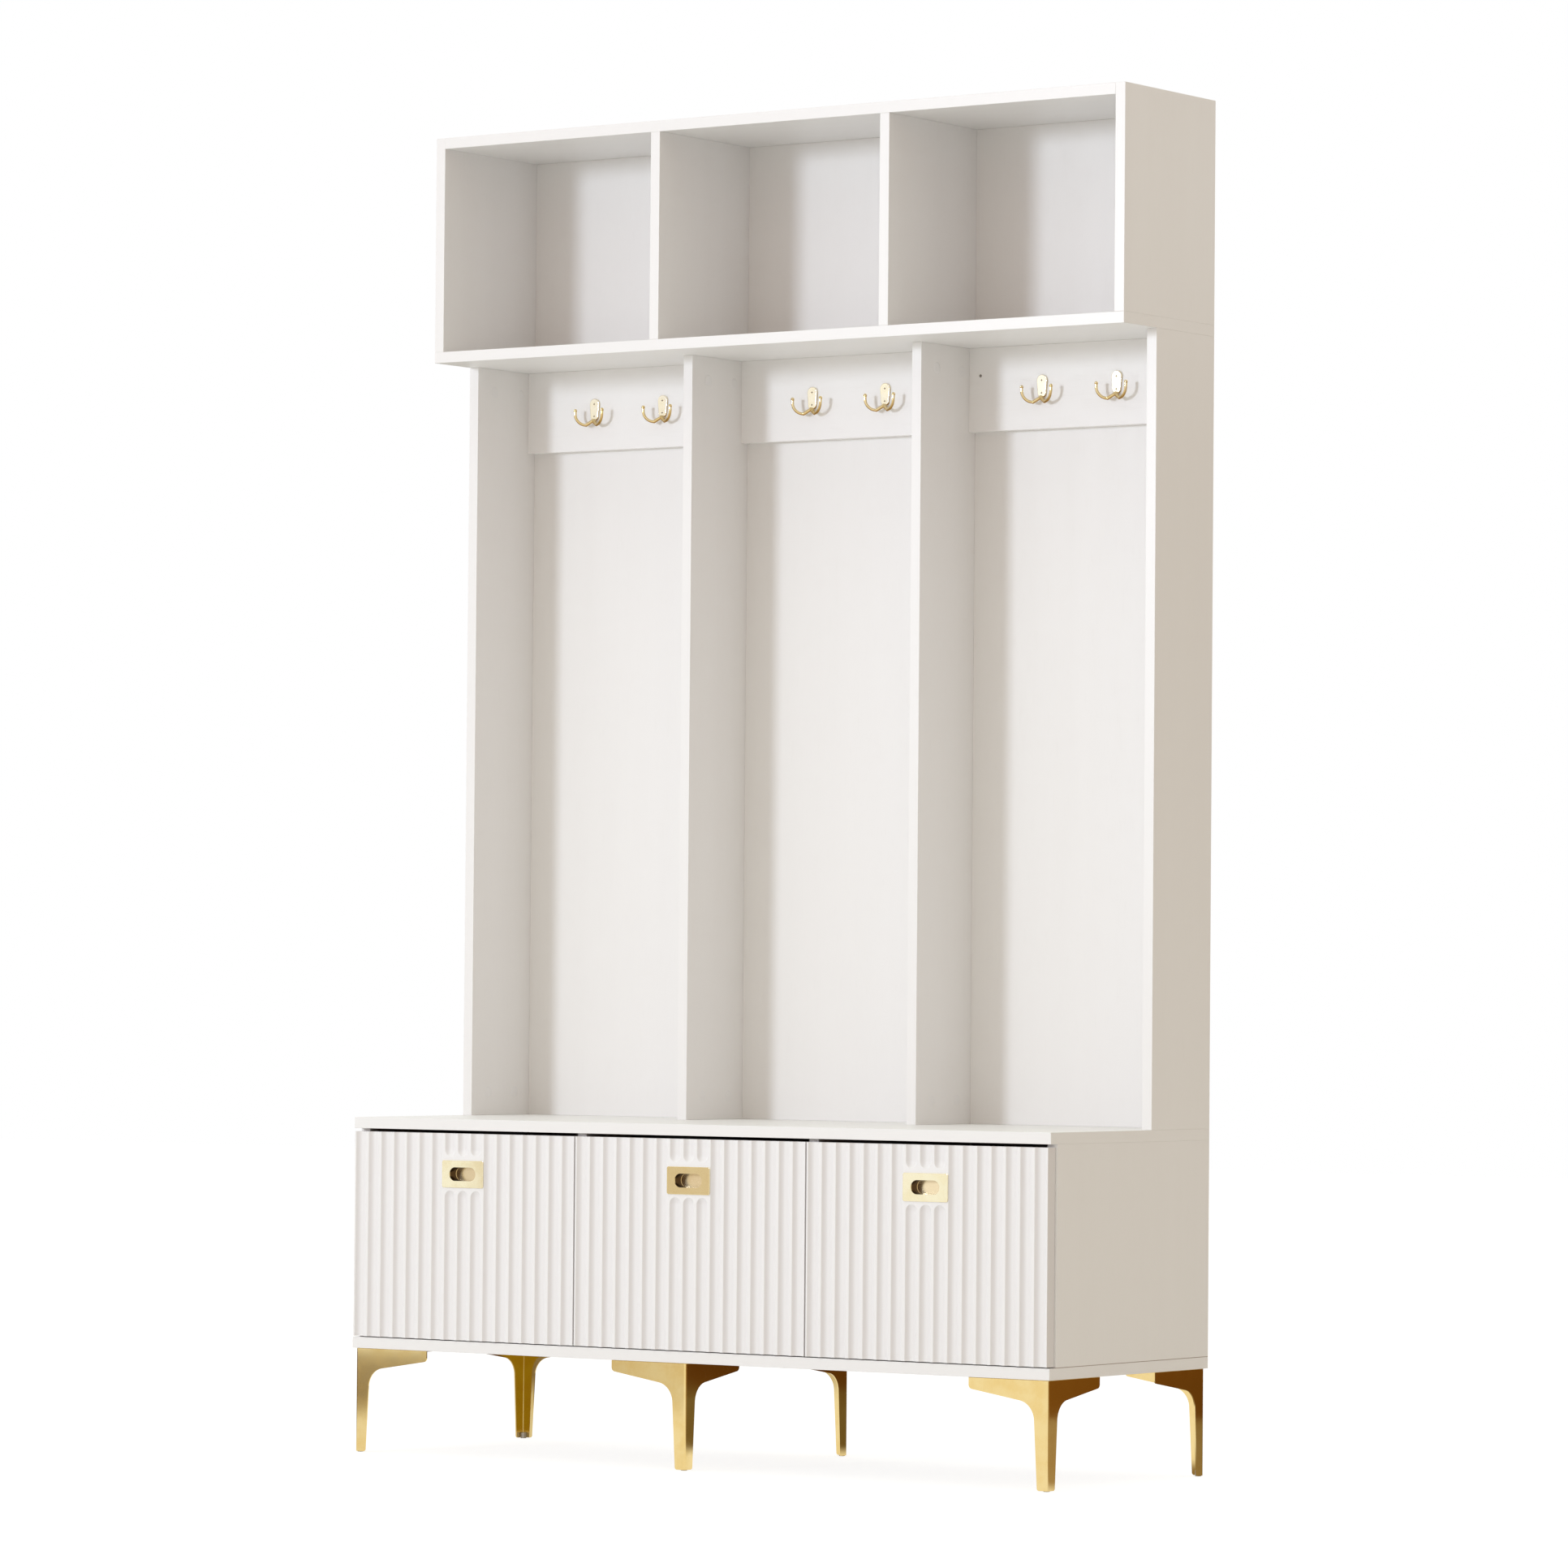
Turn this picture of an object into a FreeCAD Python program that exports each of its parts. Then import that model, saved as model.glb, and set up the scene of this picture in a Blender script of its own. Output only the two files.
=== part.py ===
"""Hall tree: a bench with three fluted drawers, a coat-hook hutch and a row of cubbies.

Millimetres. +X is the right-hand side seen from the front, the front faces -Y and +Z is up.
The origin is on the floor, under the middle of the overall box.
"""
import math
import os
import re

import FreeCAD
import Part
import Sketcher

Vector = FreeCAD.Vector
Rotation = FreeCAD.Rotation
Placement = FreeCAD.Placement

HOOKS_PER_BAY = 2
TOUCH = 0.01            # slack when edges are picked by their place
FIRST_ROUND = 0.5       # a sketch corner's radius until its formula sets it
VOLUME_SLACK = 1e-4     # how far a written file's volume may be off, as a share

# Every size that can be set by itself: name, value, what it is.
SIZES = [
    ("width", 1200.0, "overall width of bench, hutch and cubby row"),
    ("depth", 407.0, "bench top and bottom board, front to back"),
    ("board", 16.0, "thickness of the carcass boards"),
    ("leg_height", 150.0, "floor to the underside of the bottom board"),
    ("base_clear", 301.5, "clear height of the drawer space"),
    ("hutch_clear", 1108.0, "clear height between bench top and shelf"),
    ("box_clear", 300.0, "clear height of the cubbies"),
    ("hutch_depth", 152.0, "depth of the hutch panels"),
    ("box_depth", 237.0, "depth of the cubby row"),
    ("back_board", 12.0, "thickness of the back boards"),
    ("back_inset", 1.5, "back boards set in from the rear edges"),
    ("rail_height", 120.0, "height of the hook rails"),
    ("edge_ease", 0.5, "rounding of the board edges"),
    ("front_thick", 18.0, "thickness of a drawer front"),
    ("front_proud", 2.5, "drawer fronts stand out past the bench edge"),
    ("front_seat", 0.5, "gap between a drawer front and the panel edges"),
    ("front_side_inset", 3.0, "outer fronts set in from the sides"),
    ("front_gap", 2.5, "gap between neighbouring fronts"),
    ("front_top_gap", 4.5, "gap above the fronts"),
    ("front_bottom_gap", 1.5, "gap below the fronts"),
    ("flute_count", 17.0, "flutes across one front"),
    ("flute_width", 19.0, "width of a flute"),
    ("flute_depth", 4.0, "depth of a flute"),
    ("short_flutes", 3.0, "flutes that stop short of the pull"),
    ("flute_stop_above", 6.0, "flat land above a pull"),
    ("flute_stop_below", 4.0, "flat land below a pull"),
    ("pull_width", 74.0, "pull plate width"),
    ("pull_height", 39.0, "pull plate height"),
    ("pull_plate", 1.5, "pull plate thickness"),
    ("pull_corner", 3.0, "pull plate corner radius"),
    ("pull_drop", 58.0, "pull centre below the top of the front"),
    ("pull_edge", 0.5, "rounding of the pull plate edge"),
    ("cup_width", 47.0, "finger cup opening width"),
    ("cup_height", 19.5, "finger cup opening height"),
    ("cup_depth", 16.0, "finger cup depth from the plate's face"),
    ("cup_wall", 0.8, "finger cup wall"),
    ("side_thick", 12.0, "drawer box board thickness"),
    ("side_height", 200.0, "drawer box height"),
    ("box_length", 350.0, "drawer box length behind its front"),
    ("drawer_lift", 16.0, "drawer box above the bottom board"),
    ("bottom_thick", 4.0, "drawer bottom thickness"),
    ("groove_height", 10.0, "drawer bottom above the lower edge of the sides"),
    ("groove_depth", 5.0, "groove that holds the drawer bottom"),
    ("runner_gap", 13.0, "space for a runner beside the drawer box"),
    ("runner_length", 345.0, "runner length"),
    ("runner_steel", 1.2, "runner sheet thickness"),
    ("runner_height", 30.0, "fixed runner member height"),
    ("runner_drop", 6.0, "drawer side above the fixed member's lower edge"),
    ("runner_play", 0.3, "running clearance in a runner"),
    ("runner_flange_play", 1.3, "runner flange to the fixed member's web"),
    ("roller_play", 0.9, "fixed roller to the drawer member beside it"),
    ("roller_radius", 11.3, "runner roller radius"),
    ("roller_inset", 14.0, "roller centre from the runner's end"),
    ("leg_sheet", 1.8, "leg sheet thickness"),
    ("leg_flange", 129.0, "length of a leg's two flanges"),
    ("leg_end", 15.5, "height of a flange at its far end"),
    ("leg_knee_out", 24.0, "leg width where post and flange lines meet"),
    ("leg_knee_drop", 32.0, "that meeting point below the board"),
    ("leg_curve", 28.0, "radius between post and flange"),
    ("leg_end_round", 6.0, "radius of a flange's lower corner"),
    ("leg_bend", 3.0, "outer bend radius of the leg's fold"),
    ("foot_round", 3.5, "radius of the post's lower corners"),
    ("leg_trim", 20.0, "blank length trimmed off past a flange"),
    ("foot_width", 17.5, "width of a leg at its foot"),
    ("leg_inset", 4.0, "legs set in from the bench edges"),
    ("middle_leg_shift", 7.0, "middle legs' fold left of the centre line"),
    ("leg_screw_near", 16.0, "screw from the faces beside it"),
    ("leg_screw_far", 92.0, "screw from the fold, along a flange"),
    ("leg_plate_end", 22.4, "width of the screw plate at a flange's far end"),
    ("pad_size", 6.5, "foot pad, plan size"),
    ("pad_height", 8.5, "foot pad height"),
    ("pad_drop", 1.0, "foot pad below the steel foot"),
    ("pad_ease", 0.6, "foot pad edge rounding"),
    ("pad_play", 0.3, "foot pad inside the fold"),
    ("hook_drop", 51.0, "top screw of a coat hook below the shelf"),
    ("hook_plate", 3.0, "hook plate thickness"),
    ("hook_top", 8.0, "hook plate above its top screw"),
    ("hook_pitch", 18.2, "distance between the hook's screws"),
    ("hook_tail", 6.0, "hook plate below its bottom screw"),
    ("hook_top_half", 9.2, "half width of the hook plate at the top"),
    ("hook_tail_half", 6.2, "half width of the hook plate at the bottom"),
    ("hook_fullness", 0.9, "plate corner radius as a share of its half width"),
    ("hook_round", 0.8, "rounding of the hook plate's front edge"),
    ("boss_radius", 3.0, "boss that both prongs spring from"),
    ("boss_reach", 7.5, "boss length out from the rail"),
    ("boss_nose", 1.2, "taper at the boss's outer end"),
    ("boss_drop", 0.8, "boss centre below the plate"),
    ("prong_spread", 66.0, "prong direction, degrees from straight out"),
    ("prong_run", 10.5, "prong reach before its bow"),
    ("prong_drop", 6.5, "prong drop before its bow"),
    ("prong_bow", 16.5, "radius of a prong's bow"),
    ("prong_root", 2.4, "prong radius at the boss"),
    ("prong_bar", 2.1, "prong radius along the bow"),
    ("prong_rise", 5.0, "straight stretch below the tip"),
    ("prong_tip", 2.7, "radius of the ball at the tip"),
    ("screw_shank", 1.8, "screw shank radius"),
    ("screw_head", 3.6, "screw head radius"),
    ("screw_length", 16.0, "screw length"),
    ("screw_cross", 3.6, "length of the cross in a screw head"),
    ("screw_slot", 0.8, "width of the cross in a screw head"),
    ("screw_cross_depth", 1.2, "depth of the cross in a screw head"),
    ("screw_play", 0.1, "screw hole clearance"),
]

# Places and sizes that follow from the values above.
DERIVED = {
    "bench_front": "-(depth - front_proud - pull_plate) / 2",
    "rear": "bench_front + depth",
    "front_face": "bench_front - front_proud",
    "front_back": "front_face + front_thick",
    "panel_front": "front_back + front_seat",
    "back_front": "rear - back_inset - back_board",
    "base_floor": "leg_height + board",
    "bench_under": "base_floor + base_clear",
    "bench_top": "bench_under + board",
    "shelf_under": "bench_top + hutch_clear",
    "shelf_top": "shelf_under + board",
    "box_top": "shelf_top + box_clear",
    "divider_x": "width / 6",
    "front_width": "(width - 2 * front_side_inset - 2 * front_gap) / 3",
    "front_height": "base_clear - front_top_gap - front_bottom_gap",
    "flute_pitch": "front_width / flute_count",
    "flute_radius": "(flute_width ^ 2 / 4 + flute_depth ^ 2) / (2 * flute_depth)",
    "pull_z": "front_height - pull_drop",
    "drawer_bottom": "base_floor + drawer_lift",
    "runner_bottom": "drawer_bottom - runner_drop",
    "runner_front": "panel_front + front_seat",
    "roller_z": "runner_steel + runner_play + roller_radius",
    "flange_z": "roller_z + roller_radius + runner_play",
    "leg_tall": "leg_height - pad_drop",
    "rail_front": "back_front - board",
    "hook_z": "shelf_under - hook_drop",
    "hook_bottom": "hook_pitch + hook_tail",
    "boss_z": "hook_bottom + boss_drop",
}

NODES = []          # finished sub-parts, in order; each Label is its node's name

doc = FreeCAD.newDocument("HallTree")
sheet = doc.addObject("Spreadsheet::Sheet", "Sizes")
for row, (alias, number, meaning) in enumerate(SIZES, start=1):
    sheet.set(f"A{row}", meaning)
    sheet.set(f"B{row}", str(number))
    sheet.setAlias(f"B{row}", alias)
doc.recompute()
size = {alias: sheet.get(alias) for alias, number, meaning in SIZES}


def in_sheet(formula):
    """Spell a formula out in spreadsheet cells."""
    def cell(match):
        word = match.group()
        if word in DERIVED:
            return "(" + in_sheet(DERIVED[word]) + ")"
        return "Sizes." + word if word in size else word
    return re.sub(r"[a-z_]+", cell, str(formula))


def bind(thing, **formulas):
    """Bind properties to formulas; x, y and z stand for the placement's base."""
    for name, formula in formulas.items():
        path = "Placement.Base." + name if name in "xyz" else name
        thing.setExpression(path, in_sheet(formula))
    return thing


def new_body(name, x=0, y=0, z=0):
    body = doc.addObject("PartDesign::Body", name)
    return bind(body, x=x, y=y, z=z)


def origin_item(body, role):
    return next(item for item in body.Origin.OriginFeatures if item.Role == role)


def solid(body, kind, name, **formulas):
    """Add a PartDesign primitive, such as AdditiveBox, to a body."""
    return bind(body.newObject("PartDesign::" + kind, name), **formulas)


def along_y(feature):
    """Turn a primitive's axis from +Z to +Y."""
    feature.Placement.Rotation = Rotation(Vector(1, 0, 0), -90)
    return feature


def along_x(feature):
    """Turn a primitive's axis from +Z to +X."""
    feature.Placement.Rotation = Rotation(Vector(0, 1, 0), 90)
    return feature


def finish(thing, label):
    """Give a finished sub-part its node name."""
    thing.Label = label
    NODES.append(thing)
    return thing


def round_edges(body, name, radius, chosen):
    """Fillet the edges of the body's last feature that the test picks."""
    doc.recompute()
    base = body.Tip
    edges = [f"Edge{i}" for i, edge in enumerate(base.Shape.Edges, start=1) if chosen(edge)]
    fillet = body.newObject("PartDesign::Fillet", name)
    fillet.Base = (base, edges)
    return bind(fillet, Radius=radius)


def ease_all(body, name, radius):
    doc.recompute()
    base = body.Tip
    fillet = body.newObject("PartDesign::Fillet", name)
    fillet.Base = (base, ["Face1"])
    fillet.UseAllEdges = True
    return bind(fillet, Radius=radius)


def board(label, x, y, z, length, width, height):
    """A rectangular board with its edges eased, its low corner at x, y, z."""
    body = new_body(label, x, y, z)
    solid(body, "AdditiveBox", label + "_blank", Length=length, Width=width, Height=height)
    ease_all(body, label + "_ease", "edge_ease")
    return finish(body, label)


def outline(body, name, plane, corners, rounds=None):
    """A closed sketch through corners given as formulas, with some corners rounded."""
    sketch = body.newObject("Sketcher::SketchObject", name)
    sketch.AttachmentSupport = (origin_item(body, plane), [""])
    sketch.MapMode = "FlatFace"
    count = len(corners)
    start = [Vector(math.cos(2 * math.pi * i / count), math.sin(2 * math.pi * i / count), 0)
             for i in range(count)]
    for i in range(count):
        sketch.addGeometry(Part.LineSegment(start[i], start[(i + 1) % count]))
    for i in range(count):
        sketch.addConstraint(Sketcher.Constraint("Coincident", i, 2, (i + 1) % count, 1))
    for i, corner in enumerate(corners):
        for kind, formula in zip(("DistanceX", "DistanceY"), corner):
            place = sketch.addConstraint(Sketcher.Constraint(kind, -1, 1, i, 1, start[i].x))
            sketch.setExpression(f"Constraints[{place}]", in_sheet(formula))
    doc.recompute()
    for i, radius in (rounds or {}).items():
        arc = sketch.GeometryCount
        sketch.fillet(i, 1, FIRST_ROUND, True, True)
        bent = sketch.addConstraint(Sketcher.Constraint("Radius", arc, FIRST_ROUND))
        sketch.setExpression(f"Constraints[{bent}]", in_sheet(radius))
    return sketch


def pad(body, name, sketch, length, backwards=False):
    feature = body.newObject("PartDesign::Pad", name)
    feature.Profile = sketch
    feature.Reversed = backwards
    return bind(feature, Length=length)


def pocket_through(body, name, sketch, backwards=False):
    feature = body.newObject("PartDesign::Pocket", name)
    feature.Profile = sketch
    feature.Type = "ThroughAll"
    feature.Reversed = backwards
    return feature


def repeat_x(body, name, originals, step, copies):
    """Repeat features along +X, a step apart."""
    pattern = body.newObject("PartDesign::LinearPattern", name)
    pattern.Originals = originals
    pattern.Direction = (origin_item(body, "X_Axis"), [""])
    bind(pattern, Length=f"({step}) * ({copies} - 1)", Occurrences=copies)
    body.Tip = pattern
    return pattern


def obround(body, kind, name, middle, y, z, width, height, depth):
    """A slot shape with round ends, its length along X and its depth along +Y."""
    half = f"(({width}) - ({height})) / 2"
    radius = f"({height}) / 2"
    solid(body, kind + "Box", name + "_middle", x=f"{middle} - {half}", y=y, z=f"{z} - {radius}",
          Length=f"2 * {half}", Width=depth, Height=height)
    for end, sign in (("left", "-"), ("right", "+")):
        cylinder = solid(body, kind + "Cylinder", f"{name}_{end}", Radius=radius, Height=depth)
        bind(along_y(cylinder), x=f"{middle} {sign} {half}", y=y, z=z)


def group(label, members):
    """Several identical solids kept in one sub-part."""
    compound = doc.addObject("Part::Compound", label)
    compound.Links = members
    return finish(compound, label)


# --------------------------------------------------------------------------- carcass

BAYS = [
    ("left", "-width / 2 + board", "-divider_x - board / 2"),
    ("middle", "-divider_x + board / 2", "divider_x - board / 2"),
    ("right", "divider_x + board / 2", "width / 2 - board"),
]
PANELS = [
    ("side_left", "-width / 2"),
    ("divider_left", "-divider_x - board / 2"),
    ("divider_right", "divider_x - board / 2"),
    ("side_right", "width / 2 - board"),
]
# Quarter turns about Z put a leg's two flanges along the edges it stands under.
LEGS = [
    ("leg_front_left", "-width / 2 + leg_inset", "bench_front + leg_inset", 0),
    ("leg_front_middle", "-middle_leg_shift", "bench_front + leg_inset", 1),
    ("leg_front_right", "width / 2 - leg_inset", "bench_front + leg_inset", 1),
    ("leg_back_right", "width / 2 - leg_inset", "rear - leg_inset", 2),
    ("leg_back_middle", "-middle_leg_shift", "rear - leg_inset", 2),
    ("leg_back_left", "-width / 2 + leg_inset", "rear - leg_inset", 3),
]
LEG_SCREWS = [
    ("leg_screw_near", "leg_screw_near"),
    ("leg_screw_far", "leg_screw_near"),
    ("leg_screw_near", "leg_screw_far"),
]
HOOKS = [(f"coat_hook_{HOOKS_PER_BAY * i + j}", bay,
          f"{low} + (({high}) - ({low})) * {j} / {HOOKS_PER_BAY + 1}")
         for i, (bay, low, high) in enumerate(BAYS) for j in range(1, HOOKS_PER_BAY + 1)]


def quarter_turn(along, across, turns):
    """A leg's own two coordinates, turned by quarter turns about its fold."""
    return [(along, across), (f"-({across})", along),
            (f"-({along})", f"-({across})"), (across, f"-({along})")][turns]


def leg_screw_places():
    """Plan place of every leg screw, as formulas."""
    for label, fold_x, fold_y, turns in LEGS:
        for along, across in LEG_SCREWS:
            x, y = quarter_turn(along, across, turns)
            yield f"{fold_x} + ({x})", f"{fold_y} + ({y})"


def build_base():
    full = dict(length="width", width="depth", height="board")
    board("bench_top", "-width / 2", "bench_front", "bench_under", **full)
    bottom = board("base_bottom_board", "-width / 2", "bench_front", "leg_height", **full)
    for i, (x, y) in enumerate(leg_screw_places(), start=1):
        solid(bottom, "SubtractiveCylinder", f"leg_pilot_{i}", x=f"{x} + width / 2",
              y=f"{y} - (bench_front)", Radius="screw_shank + screw_play",
              Height="screw_length - leg_sheet")
    for name, x in PANELS:
        reach = "rear" if "side" in name else "back_front"
        board("base_" + name, x, "panel_front", "base_floor", "board",
              f"{reach} - (panel_front)", "base_clear")
    board("base_back", "-width / 2 + board", "back_front", "base_floor",
          "width - 2 * board", "back_board", "base_clear")


def build_hutch():
    for name, x in PANELS:
        board("hutch_" + name, x, "rear - hutch_depth", "bench_top", "board",
              "hutch_depth", "hutch_clear")
    for bay, low, high in BAYS:
        wide = f"({high}) - ({low})"
        board("hutch_back_" + bay, low, "back_front", "bench_top", wide, "back_board",
              "hutch_clear")
        rail = board("hook_rail_" + bay, low, "rail_front", "shelf_under - rail_height", wide,
                     "board", "rail_height")
        for label, hook_bay, x in HOOKS:
            if hook_bay != bay:
                continue
            for row, drop in enumerate(("0", "hook_pitch"), start=1):
                pilot = solid(rail, "SubtractiveCylinder", f"{label}_pilot_{row}",
                              Radius="screw_shank + screw_play", Height="screw_length")
                bind(along_y(pilot), x=f"{x} - ({low})", y="-hook_plate",
                     z=f"rail_height - hook_drop - {drop}")


def build_cubbies():
    board("box_shelf", "-width / 2", "rear - box_depth", "shelf_under", "width", "box_depth",
          "board")
    for name, x in PANELS:
        side = "side" in name
        reach = "rear" if side else "back_front"
        tall = "box_clear + board" if side else "box_clear"
        board("box_" + name, x, "rear - box_depth", "shelf_top", "board",
              f"{reach} - (rear - box_depth)", tall)
    board("box_top", "-width / 2 + board", "rear - box_depth", "box_top",
          "width - 2 * board", "box_depth", "board")
    board("box_back", "-width / 2 + board", "back_front", "shelf_top", "width - 2 * board",
          "back_board", "box_clear")


# --------------------------------------------------------------------------- drawers

def fluted_front(label, x):
    """A slab with ball-nosed flutes; those behind the pull stop short of it."""
    body = new_body(label, x, "front_face", "base_floor + front_bottom_gap")
    solid(body, "AdditiveBox", label + "_slab", Length="front_width", Width="front_thick",
          Height="front_height")
    whole = "(flute_count - short_flutes) / 2"
    axis_y = "flute_depth - flute_radius"
    for side, first in (("left", "0"), ("right", whole + " + short_flutes")):
        flute = solid(body, "SubtractiveCylinder", f"{label}_flute_{side}",
                      x=f"flute_pitch * (1 / 2 + {first})", y=axis_y,
                      Radius="flute_radius", Height="front_height")
        repeat_x(body, f"{label}_flutes_{side}", [flute], "flute_pitch", whole)
    stop_low = "pull_z - pull_height / 2 - flute_stop_below - flute_width / 2"
    stop_high = "pull_z + pull_height / 2 + flute_stop_above + flute_width / 2"
    first_x = f"flute_pitch * (1 / 2 + {whole})"
    for side, start, stop, ball in (("below", "0", stop_low, stop_low),
                                    ("above", stop_high, "front_height", stop_high)):
        run = solid(body, "SubtractiveCylinder", f"{label}_short_{side}", x=first_x, y=axis_y,
                    z=start, Radius="flute_radius", Height=f"{stop} - ({start})")
        nose = solid(body, "SubtractiveSphere", f"{label}_nose_{side}", x=first_x, y=axis_y,
                     z=ball, Radius="flute_radius")
        repeat_x(body, f"{label}_shorts_{side}", [run, nose], "flute_pitch", "short_flutes")
    obround(body, "Subtractive", label + "_cup_hole", "front_width / 2", "-pull_plate", "pull_z",
            "cup_width + 2 * cup_wall", "cup_height + 2 * cup_wall", "cup_depth + cup_wall")
    return finish(body, label)


def finger_pull(label, x):
    """A flush pull: a thin plate with a slot-shaped cup let into the front."""
    body = new_body(label, x, "front_face - pull_plate", "base_floor + front_bottom_gap + pull_z")
    solid(body, "AdditiveBox", label + "_plate", x="-pull_width / 2", z="-pull_height / 2",
          Length="pull_width", Width="pull_plate", Height="pull_height")
    round_edges(body, label + "_corners", "pull_corner",
                lambda edge: edge.BoundBox.YLength > size["pull_plate"] / 2)
    round_edges(body, label + "_rim", "pull_edge",
                lambda edge: edge.BoundBox.YMax < size["pull_plate"] / 2)
    obround(body, "Additive", label + "_cup", "0", "0", "0", "cup_width + 2 * cup_wall",
            "cup_height + 2 * cup_wall", "cup_depth + cup_wall")
    obround(body, "Subtractive", label + "_hollow", "0", "0", "0", "cup_width", "cup_height",
            "cup_depth")
    return finish(body, label)


def runner_section(body, name, corners, length):
    """Pad a sheet-steel section, drawn as seen from the front, along +Y."""
    pad(body, name + "_strip", outline(body, name + "_section", "XZ_Plane", corners), length,
        backwards=True)


def fixed_runner(name, panel_x, hand):
    """The cabinet member: a channel on the panel with a roller at its front end."""
    body = new_body(name, panel_x, "runner_front", "runner_bottom")
    lip = f"{hand} * (runner_gap - runner_steel - runner_play)"
    web = f"{hand} * runner_steel"
    high = "runner_height - runner_steel"
    runner_section(body, name, [("0", "0"), (lip, "0"), (lip, "runner_steel"),
                                (web, "runner_steel"), (web, high), (lip, high),
                                (lip, "runner_height"), ("0", "runner_height")],
                   "runner_length")
    reach = "runner_gap - runner_steel - runner_steel / 2 - roller_play"
    roller = solid(body, "AdditiveCylinder", name + "_roller", Radius="roller_radius",
                   Height=reach)
    start = "runner_steel / 2" if hand == 1 else f"-runner_steel / 2 - ({reach})"
    bind(along_x(roller), x=start, y="roller_inset", z="roller_z")
    return body


def sliding_runner(name, panel_x, hand):
    """The drawer member: it wraps the side's lower edge and has a roller at its rear end."""
    body = new_body(name, panel_x, "runner_front", "runner_bottom")
    web = f"{hand} * (runner_gap - runner_steel)"
    face = f"{hand} * runner_gap"
    under = f"{hand} * (runner_gap + side_thick)"
    tip = f"{hand} * (runner_steel + runner_flange_play)"
    top = "flange_z + runner_steel"
    runner_section(body, name, [(web, "runner_drop - runner_steel"),
                                (under, "runner_drop - runner_steel"), (under, "runner_drop"),
                                (face, "runner_drop"), (face, top), (tip, top),
                                (tip, "flange_z"), (web, "flange_z")],
                   "runner_length")
    reach = "runner_gap - runner_steel / 2 - (runner_steel + runner_flange_play)"
    roller = solid(body, "AdditiveCylinder", name + "_roller", Radius="roller_radius",
                   Height=reach)
    start = tip if hand == 1 else f"{tip} - ({reach})"
    bind(along_x(roller), x=start, y="runner_length - roller_inset", z="roller_z")
    return body


def drawer_box(name, low, high):
    """Two grooved sides, a back that stands on the bottom, and the bottom in its grooves."""
    left = f"{low} + runner_gap"
    right = f"{high} - runner_gap"
    for side, x, groove_x in (("left", left, "side_thick - groove_depth"),
                              ("right", f"{right} - side_thick", "0")):
        body = new_body(f"{name}_side_{side}", x, "front_back", "drawer_bottom")
        solid(body, "AdditiveBox", f"{name}_side_{side}_blank", Length="side_thick",
              Width="box_length", Height="side_height")
        ease_all(body, f"{name}_side_{side}_ease", "edge_ease")
        solid(body, "SubtractiveBox", f"{name}_groove_{side}", x=groove_x, z="groove_height",
              Length="groove_depth", Width="box_length", Height="bottom_thick")
        finish(body, f"{name}_side_{side}")
    inner = f"({right}) - ({left}) - 2 * side_thick"
    floor = "drawer_bottom + groove_height"
    board(name + "_back", f"{left} + side_thick", "front_back + box_length - side_thick",
          f"{floor} + bottom_thick", inner, "side_thick",
          "side_height - groove_height - bottom_thick")
    body = new_body(name + "_bottom", f"{left} + side_thick - groove_depth", "front_back", floor)
    solid(body, "AdditiveBox", name + "_bottom_sheet", Length=f"{inner} + 2 * groove_depth",
          Width="box_length", Height="bottom_thick")
    finish(body, name + "_bottom")


def build_drawers():
    fixed = []
    for i, (bay, low, high) in enumerate(BAYS):
        name = "drawer_" + bay
        x = f"-width / 2 + front_side_inset + {i} * (front_width + front_gap)"
        fluted_front(name + "_front", x)
        finger_pull(name + "_pull", f"{x} + front_width / 2")
        drawer_box(name, low, high)
        ends = (("left", low, 1), ("right", high, -1))
        group(name + "_runners", [sliding_runner(f"{name}_slider_{side}", place, hand)
                                  for side, place, hand in ends])
        fixed += [fixed_runner(f"fixed_runner_{bay}_{side}", place, hand)
                  for side, place, hand in ends]
    group("cabinet_runners", fixed)


# --------------------------------------------------------------------------- legs

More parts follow.
